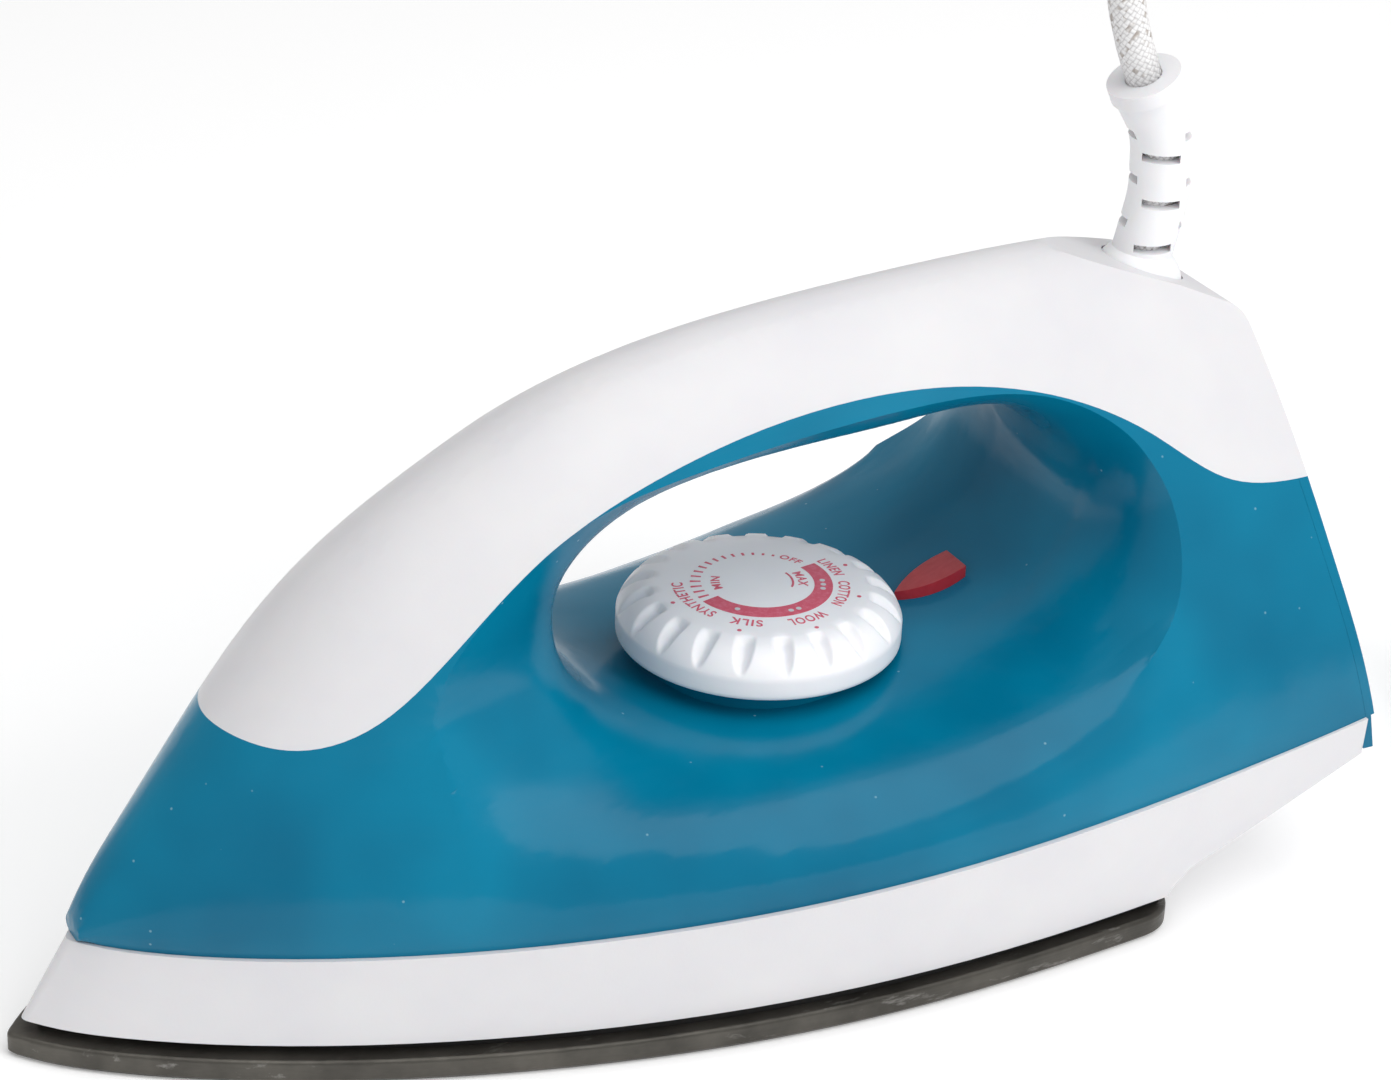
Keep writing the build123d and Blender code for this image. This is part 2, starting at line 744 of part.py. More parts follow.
def cord_tube(points, name):
    """Tube along straight runs joined by tangent arcs, with its checks printed."""
    points = [Vector(*p) for p in points]
    radii = corner_radii(points)
    path = FilletPolyline(*points, radius=radii)
    tube = tube_along(path, core_r)
    ratio = tube.volume / (pi * core_r ** 2 * path.length)
    print(f"{name}: length {path.length:.1f}, volume over section x length {ratio:.4f}")
    print("  arc radii", [round(r, 1) for r in radii])
    return tube, path.length


def make_coil():
    """Outer shape of the wound cord: a flat ring with rounded edges."""
    ring = Pos(coil_x, coil_y, coil_top / 2) * (Cylinder(coil_outer, coil_top)
                                                - Cylinder(coil_inner, coil_top + 1))
    return fillet(ring.edges().filter_by(GeomType.CIRCLE), 2.6)


def make_coil_tie():
    """Open clip over the ring's top and sides."""
    span = coil_outer - coil_inner
    clip = Box(span + 3.4, 9, coil_top + 1.5) - Pos(0, 0, -0.8) * Box(span + 0.8, 10, coil_top + 0.6)
    return Pos(coil_x, coil_y, 0) * Rot(0, 0, 60) * Pos(coil_mean_r, 0, (coil_top + 1.5) / 2) * clip


def make_plug_body():
    """Moulded angled plug that lies on its back, with a tapered boot."""
    front = plug_y - boot_length
    head = RectangleRounded(2 * plug_half, plug_length, plug_half - 2)
    shell = extrude(head, amount=plug_height, taper=2)
    rim = shell.edges().filter_by(GeomType.LINE, reverse=True).group_by(Axis.Z)[-1]
    shell = Pos(plug_x, front - plug_length / 2, 0) * fillet(rim, 1.5)
    boot = Pos(plug_x, plug_y - boot_length / 2 - 2, plug_z) * Rot(-90, 0, 0)
    boot *= Cone(6.8, core_r + 1.0, boot_length + 4)
    return shell + boot


pin_r, pin_reach, pin_pitch = 2.4, 19.0, 19.0


def pin_place():
    return plug_x, plug_y - boot_length - plug_length / 2


def make_plug_pins():
    """Two round pins that stand up from the plug's face."""
    x, y = pin_place()
    pins = []
    for side in (1, -1):
        pin = rod(x + side * pin_pitch / 2, y, plug_height, plug_height + pin_reach, pin_r)
        tip = pin.edges().filter_by(GeomType.CIRCLE).sort_by(Axis.Z)[-1]
        pins.append(chamfer(tip, 0.8))
    return Compound(pins)


# ---- All nodes ----------------------------------------------------------
def build():
    cord, free_length = cord_tube(route, "cord")
    lead, lead_length = cord_tube(lead_route, "plug_lead")
    wound = cord_length - free_length - lead_length
    print(f"turns in the coil {wound / (2 * pi * coil_mean_r):.2f}")
    nodes = {
        "soleplate": make_soleplate(), "heating_element": make_heating_element(),
        "sole_gasket": make_gasket(), "skirt": make_skirt(), "heat_shield": make_heat_shield(),
        "body_shell": make_body_shell(), "handle_cover": make_handle_cover(),
        "heel_plate": make_heel_plate(), "temperature_dial": make_dial(),
        "dial_shaft": make_dial_shaft(), "dial_clip": make_dial_clip(), "indicator_lens": make_lens(),
        "thermostat_base": make_thermostat_base(), "thermostat_insulators": make_insulators(),
        "thermostat_rivet": make_rivet(), "bimetal_strip": make_bimetal(),
        "contact_blade": make_contact_blade(), "spindle_bush": make_bush(),
        "thermal_fuse": make_fuse(), "fuse_sleeve": make_fuse_sleeve(),
        "neon_lamp": make_neon_lamp(), "lamp_leads": make_lamp_leads(),
        "terminal_block": make_terminal_block(), "terminal_screws": make_terminal_screws(),
        "block_screws": make_block_screws(), "cord_clamp": make_cord_clamp(),
        "clamp_screws": make_clamp_screws(), "cord_tail": make_cord_tail(),
        "core_wires": make_core_wires(), "live_wire": make_live_wire(),
        "neutral_wire": make_neutral_wire(), "earth_wire": make_earth_wire(),
        "earth_screw": make_earth_screw(), "link_wires": make_link_wires(),
        "front_bolt": make_front_bolt(), "rear_studs": make_rear_studs(),
        "handle_screws": make_handle_screws(), "heel_screw": make_heel_screw(),
        "guard_seat": make_guard_seat(), "cord_guard": make_guard(),
        "guard_cord": make_guard_core(), "cord": cord, "cord_coil": make_coil(),
        "coil_tie": make_coil_tie(), "plug_lead": lead, "plug_body": make_plug_body(),
        "plug_pins": make_plug_pins(),
    }
    for name, shape in nodes.items():
        save(name, shape if not isinstance(shape, list) else Compound(shape))


build()
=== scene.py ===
import json
import math

import bmesh
import bpy
import numpy as np
from mathutils import Matrix, Vector


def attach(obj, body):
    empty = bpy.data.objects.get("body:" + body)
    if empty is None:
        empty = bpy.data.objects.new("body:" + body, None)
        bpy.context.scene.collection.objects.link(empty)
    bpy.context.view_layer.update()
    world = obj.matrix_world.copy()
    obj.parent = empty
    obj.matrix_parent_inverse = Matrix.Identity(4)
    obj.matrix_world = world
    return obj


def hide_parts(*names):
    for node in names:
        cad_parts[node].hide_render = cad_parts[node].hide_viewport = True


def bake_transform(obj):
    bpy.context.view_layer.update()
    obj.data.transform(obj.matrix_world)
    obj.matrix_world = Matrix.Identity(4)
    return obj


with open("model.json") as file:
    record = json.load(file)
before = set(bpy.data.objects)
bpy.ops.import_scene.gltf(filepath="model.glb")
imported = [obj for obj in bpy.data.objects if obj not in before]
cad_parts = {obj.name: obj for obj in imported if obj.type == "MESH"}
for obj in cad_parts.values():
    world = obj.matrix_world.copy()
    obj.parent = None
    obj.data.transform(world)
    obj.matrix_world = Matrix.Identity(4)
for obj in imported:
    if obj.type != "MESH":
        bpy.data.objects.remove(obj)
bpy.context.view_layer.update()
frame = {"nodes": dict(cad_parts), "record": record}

print("frame loaded")
mm = 0.001

# camera, in millimetres and degrees
cameraSet = {
    "place": (289.632, 534.380, 383.987), "azimuth": 150.976,
    "elevation": 26.903, "roll": 2.631, "lens": 98.41,
}


def placeCamera(setting):
    a = math.radians(setting["azimuth"])
    e = math.radians(setting["elevation"])
    r = math.radians(setting["roll"])
    back = Vector((math.sin(a) * math.cos(e), -math.cos(a) * math.cos(e), math.sin(e)))
    right = Vector((math.cos(a), math.sin(a), 0))
    up = back.cross(right)
    side = right * math.cos(r) + up * math.sin(r)
    top = up * math.cos(r) - right * math.sin(r)
    data = bpy.data.cameras.new("camera")
    data.lens = setting["lens"]
    data.sensor_width = 36
    data.clip_start = 0.05
    camera = bpy.data.objects.new("camera", data)
    bpy.context.scene.collection.objects.link(camera)
    turned = Matrix((side, top, back)).transposed().to_4x4()
    camera.matrix_world = Matrix.Translation(Vector(setting["place"]) * mm) @ turned
    bpy.context.scene.camera = camera


placeCamera(cameraSet)
print("camera placed")


def addObject(name, data):
    made = bpy.data.objects.new(name, data)
    bpy.context.scene.collection.objects.link(made)
    return made


def meshObject(name, points, faces, smooth=True):
    mesh = bpy.data.meshes.new(name)
    mesh.from_pydata([tuple(p) for p in points], [], faces)
    for poly in mesh.polygons:
        poly.use_smooth = smooth
    return addObject(name, mesh)


def linear(r, g, b):  # display colour, 0 to 255, as the shader wants it
    def one(c):
        c /= 255
        return c / 12.92 if c <= 0.04045 else ((c + 0.055) / 1.055) ** 2.4
    return (one(r), one(g), one(b), 1)


# one material with its shader; each helper adds nodes and returns an output socket
class NodeBench:
    def __init__(self, name):
        self.material = bpy.data.materials.new(name)
        self.material.use_nodes = True
        self.tree = self.material.node_tree
        self.shader = self.tree.nodes["Principled BSDF"]
        coordinates = self.tree.nodes.new("ShaderNodeTexCoord")
        self.place = coordinates.outputs["Object"]
        self.along = coordinates.outputs["UV"]

    def feed(self, socket, value):
        if isinstance(value, bpy.types.NodeSocket):
            self.tree.links.new(value, socket)
        else:
            socket.default_value = value

    def calc(self, operation, a, b=0.0, c=0.0):
        node = self.tree.nodes.new("ShaderNodeMath")
        node.operation = operation
        for socket, value in zip(node.inputs, (a, b, c)):
            self.feed(socket, value)
        return node.outputs[0]

    def scaled(self, vector, scale):
        node = self.tree.nodes.new("ShaderNodeMapping")
        self.feed(node.inputs["Vector"], vector)
        node.inputs["Scale"].default_value = scale
        return node.outputs[0]

    def noise(self, vector, scale, detail=3.0, rough=0.55):
        node = self.tree.nodes.new("ShaderNodeTexNoise")
        self.feed(node.inputs["Vector"], vector)
        node.inputs["Scale"].default_value = scale
        node.inputs["Detail"].default_value = detail
        node.inputs["Roughness"].default_value = rough
        return node.outputs["Fac"]

    def cells(self, vector, scale):
        node = self.tree.nodes.new("ShaderNodeTexVoronoi")
        self.feed(node.inputs["Vector"], vector)
        node.inputs["Scale"].default_value = scale
        return node.outputs["Distance"], node.outputs["Color"]

    def spread(self, value, low, high, newLow=0.0, newHigh=1.0):
        node = self.tree.nodes.new("ShaderNodeMapRange")
        self.feed(node.inputs["Value"], value)
        node.inputs["From Min"].default_value = low
        node.inputs["From Max"].default_value = high
        node.inputs["To Min"].default_value = newLow
        node.inputs["To Max"].default_value = newHigh
        return node.outputs["Result"]

    def blendColours(self, factor, first, second):
        node = self.tree.nodes.new("ShaderNodeMix")
        node.data_type = "RGBA"
        self.feed(node.inputs[0], factor)
        self.feed(node.inputs[6], first)
        self.feed(node.inputs[7], second)
        return node.outputs[2]

    def bump(self, height, distance, strength=1.0, under=None):
        node = self.tree.nodes.new("ShaderNodeBump")
        node.inputs["Distance"].default_value = distance
        node.inputs["Strength"].default_value = strength
        self.feed(node.inputs["Height"], height)
        if under:
            self.tree.links.new(under, node.inputs["Normal"])
        return node.outputs[0]

    def paint(self, values):
        for name, value in values.items():
            self.feed(self.shader.inputs[name], value)
        return self.material


# glossy moulded shells, with flow marks, dust and fine rubbing
tealSet = {
    "main": linear(0, 118, 151), "deep": linear(0, 98, 130), "dust": linear(150, 190, 200),
    "rough": 0.17, "rubbed": 0.27, "gloss": 0.24,
    # pattern sizes, in waves per metre: a larger number is a finer pattern
    "cloud": 26, "orangePeel": 120, "grain": 900, "rub": 160, "specks": 330,
    "speckShare": 0.80,  # a speck shows where a random value is above this
    "relief": 0.00006,
}


def makeTeal(setting):
    bench = NodeBench("glossyTealPlastic")
    cloud = bench.noise(bench.place, setting["cloud"], 2)
    grain = bench.noise(bench.place, setting["grain"], 2)
    rub = bench.noise(bench.scaled(bench.place, (1.0, 1.0, 7.0)), setting["rub"], 4, 0.7)
    distance, tint = bench.cells(bench.place, setting["specks"])
    speck = bench.calc("MULTIPLY", bench.spread(distance, 0.10, 0.04),
                       bench.calc("GREATER_THAN", tint, setting["speckShare"]))
    colour = bench.blendColours(bench.spread(cloud, 0.35, 0.7), setting["main"], setting["deep"])
    colour = bench.blendColours(bench.calc("MULTIPLY", speck, 0.5), colour, setting["dust"])
    rough = bench.calc("ADD", bench.spread(rub, 0.45, 0.75, setting["rough"], setting["rubbed"]),
                       bench.calc("MULTIPLY", speck, 0.3))
    height = bench.calc("ADD", bench.calc("MULTIPLY", grain, 0.25),
                        bench.noise(bench.place, setting["orangePeel"], 1))
    return bench.paint({"Base Color": colour, "Roughness": rough, "IOR": 1.5,
                        "Specular IOR Level": setting["gloss"],
                        "Normal": bench.bump(height, setting["relief"], 0.6)})


# white mouldings: cover and skirt, cord guard, plug and dial
whiteSet = {"main": linear(217, 216, 218), "shade": linear(211, 210, 214), "rough": 0.32}
guardWhite = {"main": linear(243, 243, 245), "shade": linear(226, 226, 229), "rough": 0.42}
plugWhite = {"main": linear(240, 240, 240), "shade": linear(230, 230, 231), "rough": 0.34}
# the dial's white is lighter than the cover's white plastic: painted light, making up for the
# handle's shade over the dial
dialPaintedLightSet = {"main": linear(246, 245, 247), "shade": linear(240, 239, 242), "rough": 0.34}


def makeWhite(name, setting, scatter=0.08):
    bench = NodeBench(name)
    cloud = bench.noise(bench.place, 40, 3)
    grain = bench.noise(bench.place, 1400, 2)
    colour = bench.blendColours(bench.spread(cloud, 0.35, 0.75), setting["main"], setting["shade"])
    rough = bench.spread(bench.noise(bench.place, 210, 3), 0.3, 0.8, setting["rough"],
                         setting["rough"] + 0.12)
    return bench.paint({"Base Color": colour, "Roughness": rough, "IOR": 1.49,
                        "Subsurface Weight": scatter, "Subsurface Scale": 0.002,
                        "Normal": bench.bump(grain, 0.00003, 0.5)})


# cast sole, brushed along its length and scuffed
castSet = {"main": linear(96, 93, 87), "dark": linear(66, 64, 60), "scuff": linear(170, 168, 164),
           "rough": 0.34, "roughest": 0.56, "metallic": 0.75, "relief": 0.00006}


def makeCast(setting):
    bench = NodeBench("castSoleMetal")
    brushed = bench.noise(bench.scaled(bench.place, (0.06, 1.0, 3.2)), 900, 4, 0.65)
    blotch = bench.noise(bench.place, 55, 4, 0.6)
    grit = bench.noise(bench.place, 1500, 2)
    streaks = bench.noise(bench.scaled(bench.place, (0.25, 1, 1)), 240, 5, 0.7)
    scuffs = bench.spread(streaks, 0.60, 0.70)
    colour = bench.blendColours(bench.spread(blotch, 0.35, 0.7), setting["main"], setting["dark"])
    colour = bench.blendColours(bench.calc("MULTIPLY", scuffs, 0.45), colour, setting["scuff"])
    rough = bench.spread(brushed, 0.3, 0.75, setting["rough"], setting["roughest"])
    height = bench.calc("ADD", brushed, bench.calc("MULTIPLY", grit, 0.5))
    return bench.paint({"Base Color": colour, "Metallic": setting["metallic"], "Roughness": rough,
                        "Normal": bench.bump(height, setting["relief"], 0.7)})


def darker(colour, share):
    return tuple(c * share for c in colour[:3]) + (1,)


# turned or rolled metal, with fine lines
def makeMetal(name, colour, rough):
    bench = NodeBench(name)
    lines = bench.noise(bench.scaled(bench.place, (1, 1, 0.1)), 1100, 3)
    tone = bench.blendColours(bench.noise(bench.place, 150, 3), colour, darker(colour, 0.8))
    return bench.paint({"Base Color": tone, "Metallic": 1.0,
                        "Roughness": bench.spread(lines, 0.3, 0.75, rough, rough + 0.15),
                        "Normal": bench.bump(lines, 0.00002, 0.6)})


# grainy matt plastic, rubber or ceramic
def makeMatt(name, colour, rough):
    bench = NodeBench(name)
    grain = bench.noise(bench.place, 700, 4, 0.65)
    cloud = bench.spread(bench.noise(bench.place, 80, 3), 0.3, 0.7)
    tone = bench.blendColours(cloud, colour, darker(colour, 0.82))
    return bench.paint({"Base Color": tone,
                        "Roughness": bench.spread(grain, 0.3, 0.7, rough, rough + 0.1),
                        "Normal": bench.bump(grain, 0.00008, 0.6)})


lensSet = {"main": linear(236, 78, 88), "deep": linear(206, 38, 54), "rough": 0.12,
           "clear": 0.45, "cloudy": 0.2, "coat": 0.3}


def makeLens(setting):
    bench = NodeBench("redLens")
    streak = bench.noise(bench.scaled(bench.place, (1, 3, 1)), 420, 2)
    colour = bench.blendColours(streak, setting["main"], setting["deep"])
    return bench.paint({"Base Color": colour, "Roughness": setting["rough"], "IOR": 1.49,
                        "Transmission Weight": setting["clear"],
                        "Subsurface Weight": setting["cloudy"], "Subsurface Scale": 0.003,
                        "Coat Weight": setting["coat"],
                        "Normal": bench.bump(streak, 0.00005, 0.5)})


def makeGlass():
    bench = NodeBench("lampGlass")
    cloud = bench.noise(bench.place, 600, 2)
    tint = bench.blendColours(cloud, (1, 0.7, 0.5, 1), (1, 0.85, 0.75, 1))
    return bench.paint({"Base Color": tint, "Roughness": 0.05, "Transmission Weight": 0.9,
                        "IOR": 1.48})


# woven cotton cover of the cord: two sets of yarns that cross over and under
braidSet = {"yarns": 16, "light": linear(240, 239, 239), "shadow": linear(205, 202, 202),
            "fleck": linear(168, 158, 150), "plainShare": 0.80, "relief": 0.0002}


def makeBraid(setting):
    bench = NodeBench("wovenCordBraid")
    split = bench.tree.nodes.new("ShaderNodeSeparateXYZ")
    bench.tree.links.new(bench.along, split.inputs[0])
    around, along = split.outputs[0], split.outputs[1]
    count = setting["yarns"]
    first = bench.calc("MULTIPLY", bench.calc("ADD", around, along), count)
    second = bench.calc("MULTIPLY", bench.calc("SUBTRACT", around, along), count)
    ridges, picks = [], []
    for lay, seed in ((first, 3.7), (second, 11.3)):
        offset = bench.calc("SUBTRACT", bench.calc("FRACT", lay), 0.5)
        dip = bench.calc("MULTIPLY", 4.0, bench.calc("MULTIPLY", offset, offset))
        ridges.append(bench.calc("SUBTRACT", 1.0, dip))
        number = bench.calc("FLOORED_MODULO", bench.calc("FLOOR", lay), count)
        white = bench.tree.nodes.new("ShaderNodeTexWhiteNoise")
        white.noise_dimensions = "1D"
        bench.tree.links.new(bench.calc("ADD", number, seed), white.inputs["W"])
        picks.append(bench.calc("GREATER_THAN", white.outputs["Value"], setting["plainShare"]))
    crossing = bench.calc("ADD", bench.calc("FLOOR", first), bench.calc("FLOOR", second))
    onTop = bench.calc("GREATER_THAN", bench.calc("FLOORED_MODULO", crossing, 2.0), 0.5)
    below = bench.calc("SUBTRACT", 1.0, onTop)
    height = bench.calc("ADD", bench.calc("MULTIPLY", ridges[0], onTop),
                        bench.calc("MULTIPLY", ridges[1], below))
    fleck = bench.calc("ADD", bench.calc("MULTIPLY", picks[0], onTop),
                       bench.calc("MULTIPLY", picks[1], below))
    fibre = bench.noise(bench.along, 190, 2)
    # painted shade: the dips at the yarns' edges take the shadow colour and their crowns the light
    # one
    colour = bench.blendColours(bench.spread(height, 0.0, 0.7), setting["shadow"], setting["light"])
    # flecked yarns show in short dashes along their length
    dash = bench.noise(bench.along, 5.5, 2, 0.7)
    fleckTone = bench.calc("MULTIPLY", fleck, bench.spread(dash, 0.46, 0.56, 0.0, 0.9))
    colour = bench.blendColours(fleckTone, colour, setting["fleck"])
    relief = bench.calc("ADD", height, bench.calc("MULTIPLY", fibre, 0.3))
    return bench.paint({"Base Color": colour, "Roughness": 0.82, "Sheen Weight": 0.25,
                        "Sheen Roughness": 0.4,
                        "Normal": bench.bump(relief, setting["relief"], 0.9)})


# one finish for each slot of the record
# the dial's material carries painted light: a lighter copy of the white plastic
dialPaintedLightPlastic = makeWhite("dialWhiteWithPaintedLight", dialPaintedLightSet)
finishes = {
    "sole_casting": makeCast(castSet),
    "white_plastic": makeWhite("glossyWhitePlastic", whiteSet),
    "teal_plastic": makeTeal(tealSet),
    "gasket_black": makeMatt("gasketRubber", linear(26, 25, 25), 0.62),
    "steel": makeMetal("platedSteel", linear(190, 190, 186), 0.28),
    "brass": makeMetal("bareBrass", linear(206, 172, 96), 0.30),
    "ceramic": makeMatt("steatite", linear(226, 218, 200), 0.6),
    "lens_red": makeLens(lensSet),
    "clear_glass": makeGlass(),
    "terminal_plastic": makeMatt("terminalPlastic", linear(222, 220, 206), 0.5),
    "guard_pvc": makeWhite("softGuardPlastic", guardWhite, 0.12),
    "cord_braid": makeBraid(braidSet),
    "wire_insulation": makeMatt("wireSleeve", linear(120, 84, 66), 0.5),
    "tie_plastic": makeMatt("tiePlastic", linear(60, 60, 62), 0.45),
    "plug_white": makeWhite("plugPlastic", plugWhite),
    "plated_pin": makeMetal("nickelPin", linear(214, 212, 206), 0.18),
}
print("finishes ready")

slotOf = {part["node"]: part["material_slot"] for part in frame["record"]["subparts"]}
for name, node in frame["nodes"].items():
    node.data.materials.clear()
    node.data.materials.append(finishes[slotOf[name]])


# free cord: one smooth spline through its route, its coil and its lead, in millimetres
cordSet = {
    "diameter": 6.8, "length": 1800, "sides": 20,
    "route": [(-95.2, 0, 150.5), (-86.2, 0, 170.5), (-90.3, 0, 198.5), (-107, 0, 219.5),
              (-132, -1, 229), (-159, -3, 225), (-181, -6, 208), (-195, -9, 182),
              (-202, -12, 148), (-205.5, -14, 112), (-207.2, -15.8, 79), (-206.8, -15.5, 52),
              (-201.2, -7.6, 31.2), (-190.5, 7.6, 17.7), (-181.4, 21.1, 10.6)],
    "lead": [(-266.8, 32, 3.4), (-266.8, 15, 3.8), (-266.8, -2, 8.0)],
}
coilSet = {
    "centre": (-222.0, 40.0), "startAngle": -25.0, "sweep": 2005.0, "perTurn": 16,
    "upper": 10.2, "outer": 44.8, "step": 6.8,  # height of the upper layer, radius, cord to cord
    # degrees of winding at which a turn moves in, drops to the lower layer, or moves out
    "moves": [(288, -1, 0), (648, -1, 0), (936, 0, -1), (1224, 1, 0), (1584, 1, 0)],
    "moveLength": 72.0,
}


def coilPoints(setting):
    count = round(setting["sweep"] / 360 * setting["perTurn"])
    # the spline cuts inside its points, so they stand a little outside the coil
    swell = 1 / math.cos(math.pi / setting["perTurn"]) ** 0.9
    points = []
    for i in range(1, count + 1):
        turned = setting["sweep"] * i / count
        radius, height = setting["outer"], setting["upper"]
        for start, out, down in setting["moves"]:
            t = min(1, max(0, (turned - start) / setting["moveLength"]))
            ease = t * t * (3 - 2 * t)
            radius += out * setting["step"] * ease
            height += down * setting["step"] * ease
        a = math.radians(setting["startAngle"] + turned)
        points.append((setting["centre"][0] + radius * swell * math.cos(a),
                       setting["centre"][1] + radius * swell * math.sin(a), height))
    return points


def finishedMesh(holder):  # the holder's evaluated shape as a plain mesh
    bpy.context.view_layer.update()
    shape = holder.evaluated_get(bpy.context.evaluated_depsgraph_get())
    return bpy.data.meshes.new_from_object(shape)


def smoothLine(name, points, resolution=6):
    curve = bpy.data.curves.new(name, "CURVE")
    curve.dimensions = "3D"
    spline = curve.splines.new("NURBS")
    spline.points.add(len(points) - 1)
    for point, place in zip(spline.points, points):
        point.co = (place[0] * mm, place[1] * mm, place[2] * mm, 1)
    spline.order_u = 3
    spline.use_endpoint_u = True
    spline.resolution_u = resolution
    holder = addObject(name, curve)
    mesh = finishedMesh(holder)
    line = [v.co.copy() for v in mesh.vertices]
    bpy.data.objects.remove(holder)
    bpy.data.meshes.remove(mesh)
    return line


# closed round tube whose UV map runs round it in u and along it in v, at the same scale
def tubeAlong(name, line, radius, sides):
    points, faces, uvs, runs = [], [], [], []
    end = len(line) - 1
    tangents = [(line[min(i + 1, end)] - line[max(i - 1, 0)]).normalized()
                for i in range(len(line))]
    side = tangents[0].orthogonal().normalized()
    run = 0.0
    for i, place in enumerate(line):
        side = (side - tangents[i] * side.dot(tangents[i])).normalized()
        other = tangents[i].cross(side)
        if i:
            run += (place - line[i - 1]).length
        runs.append(run / (2 * math.pi * radius))
        for k in range(sides):
            a = 2 * math.pi * k / sides
            points.append(place + side * (radius * math.cos(a)) + other * (radius * math.sin(a)))
    for i in range(end):
        low, high = i * sides, (i + 1) * sides
        for k in range(sides):
            n = (k + 1) % sides
            faces.append((low + k, low + n, high + n, high + k))
            uvs.append(((k / sides, runs[i]), ((k + 1) / sides, runs[i]),
                        ((k + 1) / sides, runs[i + 1]), (k / sides, runs[i + 1])))
    # flat ends
    faces.append(tuple(reversed(range(sides))))
    faces.append(tuple(range(end * sides, (end + 1) * sides)))
    uvs += [((0.5, run),) * sides for run in (runs[0], runs[-1])]
    tube = meshObject(name, points, faces)
    layer = tube.data.uv_layers.new(name="along")
    for poly, corners in zip(tube.data.polygons, uvs):
        for loop, uv in zip(poly.loop_indices, corners):
            layer.data[loop].uv = uv
    return tube


def makeCord(setting, coil):
    line = smoothLine("cordLine", setting["route"] + coilPoints(coil) + setting["lead"])
    cord = tubeAlong("freeCord", line, setting["diameter"] * mm / 2, setting["sides"])
    cord.data.materials.append(finishes["cord_braid"])
    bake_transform(cord)
    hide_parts("cord", "cord_coil", "plug_lead")


# stands for a CAD node: doubles merged, edges under the sharp angle smoothed, normals evened
def smoothCopy(name, node, body, sharp):
    made = addObject(name, frame["nodes"][node].data.copy())
    work = bmesh.new()
    work.from_mesh(made.data)
    bmesh.ops.remove_doubles(work, verts=work.verts, dist=0.000002)
    for face in work.faces:
        face.smooth = True
    for edge in work.edges:
        if len(edge.link_faces) == 2:
            edge.smooth = edge.calc_face_angle(0) < math.radians(sharp)
    work.to_mesh(made.data)
    work.free()
    evenNormals = made.modifiers.new("evenNormals", "WEIGHTED_NORMAL")
    evenNormals.keep_sharp = True
    made.data.materials.clear()
    made.data.materials.append(finishes[slotOf[node]])
    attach(made, body)
    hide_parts(node)
    return made


# softened flare round the finger opening, in millimetres
rimSet = {
    "low": (-104, 14, 30), "high": (54, 66, 103),  # region, on both sides of the iron
    "climb": 0.067,  # the region's foot climbs to the heel with the seam, which stays as it is
    "margin": 7.0,  # the region fades in over this depth
    "grain": 2.0, "cuts": 7,  # longest edge after refining, and the most rounds of cutting
    "rounds": 90, "pull": 0.6,  # rounds of smoothing, and how far a point moves in each
    "freeBelow": 60, "freeBeyond": 27,  # no edge is kept crisp on the flare's lower half
}


def rimShare(point, setting):  # 0 outside the region, 1 well inside it
    low, high = setting["low"], setting["high"]
    x, y, z = (c / mm for c in point)
    foot = low[2] + setting["climb"] * (high[0] - x)
    depth = min(x - low[0], high[0] - x, abs(y) - low[1], high[1] - abs(y), z - foot, high[2] - z)
    t = min(1.0, max(0.0, depth / setting["margin"]))
    return t * t * (3 - 2 * t)


def edgeMiddle(edge):
    return (edge.verts[0].co + edge.verts[1].co) / 2


def refineRim(work, setting):
    for turn in range(setting["cuts"]):
        long = [e for e in work.edges if e.calc_length() > setting["grain"] * mm
                and max(rimShare(p, setting) for p in
                        (e.verts[0].co, e.verts[1].co, edgeMiddle(e))) > 0]
        if not long:
            break
        bmesh.ops.subdivide_edges(work, edges=long, cuts=1)
        bmesh.ops.triangulate(work, faces=[f for f in work.faces if len(f.verts) > 3])
    work.verts.index_update()


# each point moves towards the middle of its neighbours; points on a crisp edge stay
def relaxRim(work, setting):
    places = np.array([v.co for v in work.verts])
    weights = np.array([rimShare(v.co, setting) for v in work.verts]) * setting["pull"]
    for edge in work.edges:
        if not edge.smooth:
            weights[[v.index for v in edge.verts]] = 0
    pairs = np.array([[v.index for v in e.verts] for e in work.edges])
    ends = np.concatenate([pairs[:, 0], pairs[:, 1]])
    others = np.concatenate([pairs[:, 1], pairs[:, 0]])
    share = 1 / np.bincount(ends, minlength=len(places))
    for turn in range(setting["rounds"]):
        middle = np.stack([np.bincount(ends, places[others, k], len(places)) * share
                           for k in range(3)], 1)
        places += (middle - places) * weights[:, None]
    for v, place in zip(work.verts, places):
        v.co = place


def softenRim(made, setting):
    work = bmesh.new()
    work.from_mesh(made.data)
    for edge in work.edges:
        middle = edgeMiddle(edge)
        onLowerHalf = (middle.z < setting["freeBelow"] * mm
                       and abs(middle.y) > setting["freeBeyond"] * mm)
        if onLowerHalf and rimShare(middle, setting) > 0:
            edge.smooth = True
    refineRim(work, setting)
    relaxRim(work, setting)
    for face in work.faces:
        face.smooth = True
    work.to_mesh(made.data)
    work.free()
    print("rim softened, faces:", len(made.data.polygons))


plugPieces = [
    smoothCopy("plugMoulding", "plug_body", "root", 35),
    smoothCopy("plugPins", "plug_pins", "root", 40),
    smoothCopy("coilTie", "coil_tie", "root", 35),
]
makeCord(cordSet, coilSet)
print("cord and plug made")

